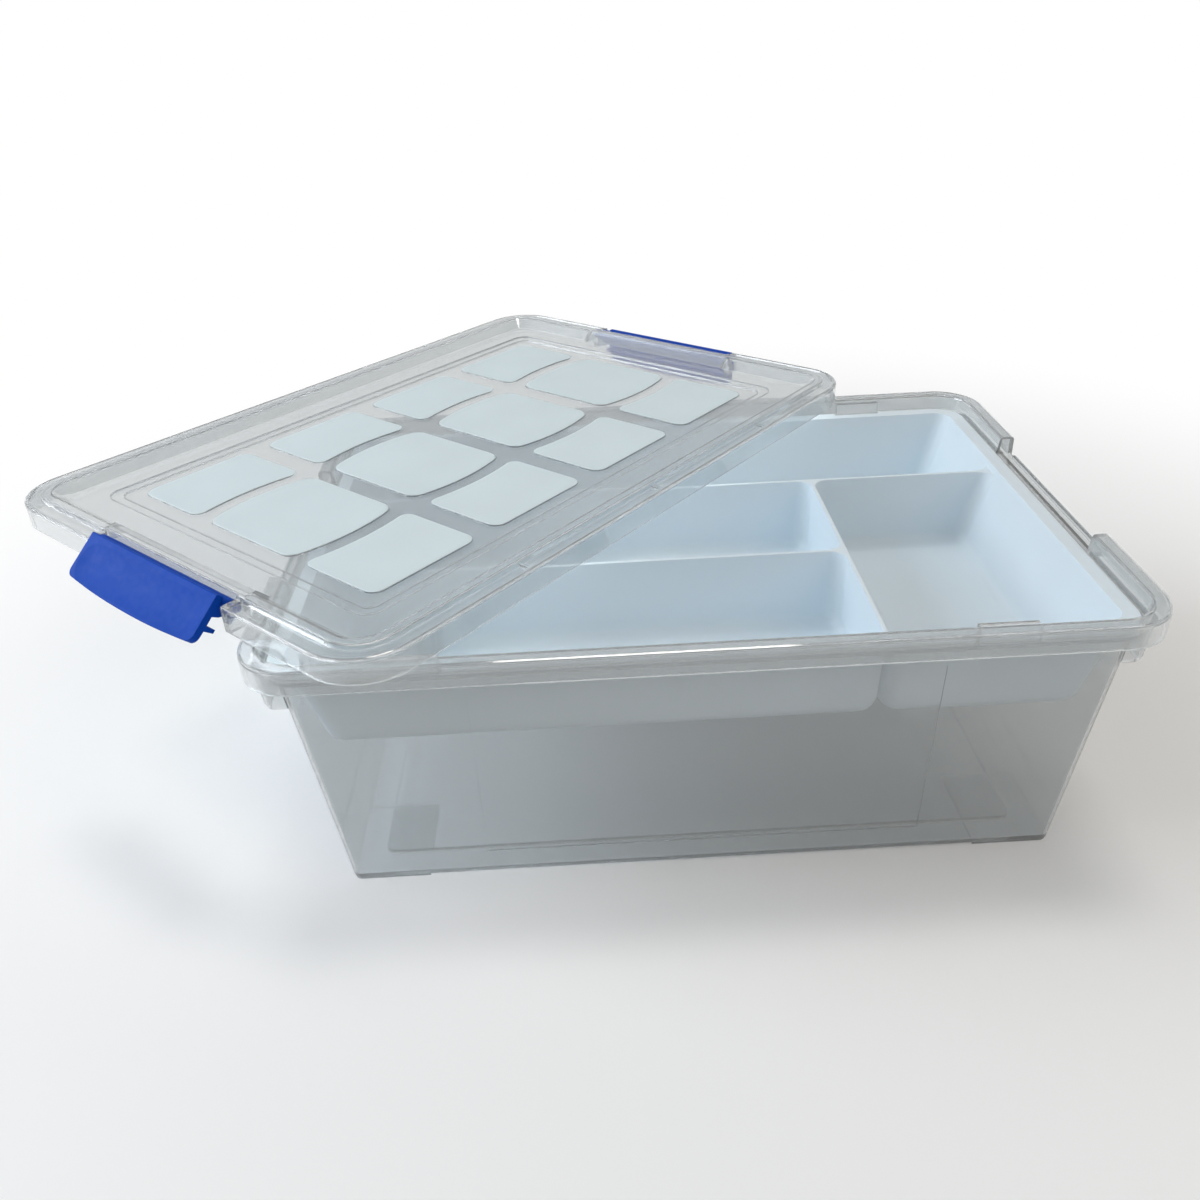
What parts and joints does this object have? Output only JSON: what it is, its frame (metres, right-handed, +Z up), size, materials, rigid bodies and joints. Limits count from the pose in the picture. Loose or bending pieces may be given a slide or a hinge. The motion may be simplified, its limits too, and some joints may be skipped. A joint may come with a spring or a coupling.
{
  "type": "tool box",
  "caption": "Clear clip-lock tool box: tapered tub on corner feet, lift-out compartment tray, loose lid lying askew on the rim, and swinging blue end latches.",
  "frame": {"origin": "Middle of the tub in plan, on the plane that its four corner feet stand on.", "axes": "+Z up. X along the tub's length, through its two end grips. +Y away from the viewer of the picture."},
  "size_m": [0.5461, 0.4712, 0.1604],
  "materials": {
    "clear_polypropylene": "clear moulded polypropylene, smooth, with frosted pads on the lid",
    "white_polypropylene": "cool white moulded polypropylene, slightly translucent",
    "blue_polypropylene": "opaque blue moulded polypropylene, smooth"
  },
  "bodies": {
    "tub": {"tub": "clear_polypropylene"},
    "tray": {"tray": "white_polypropylene"},
    "lid": {"lid": "clear_polypropylene"},
    "near_latch": {"near_latch": "blue_polypropylene"},
    "far_latch": {"far_latch": "blue_polypropylene"}
  },
  "joints": [
    {"name": "tray_lift", "type": "slide", "parent": "tub", "child": "tray", "axis": [0, 0, 1], "range_m": [0, 0.2]},
    {"name": "lid_lift", "type": "slide", "parent": "tray", "child": "lid", "axis": [0, 0, 1], "range_m": [0, 0.2]},
    {"name": "near_latch_hinge", "type": "hinge", "parent": "lid", "child": "near_latch", "pos_m": [-0.24543, -0.06609, 0.1527], "axis": [-0.7551, 0.6557, 0], "range_deg": [-48, 57]},
    {"name": "far_latch_hinge", "type": "hinge", "parent": "lid", "child": "far_latch", "pos_m": [0.01264, 0.23109, 0.1527], "axis": [0.7551, -0.6557, 0], "range_deg": [0, 105]}
  ]
}
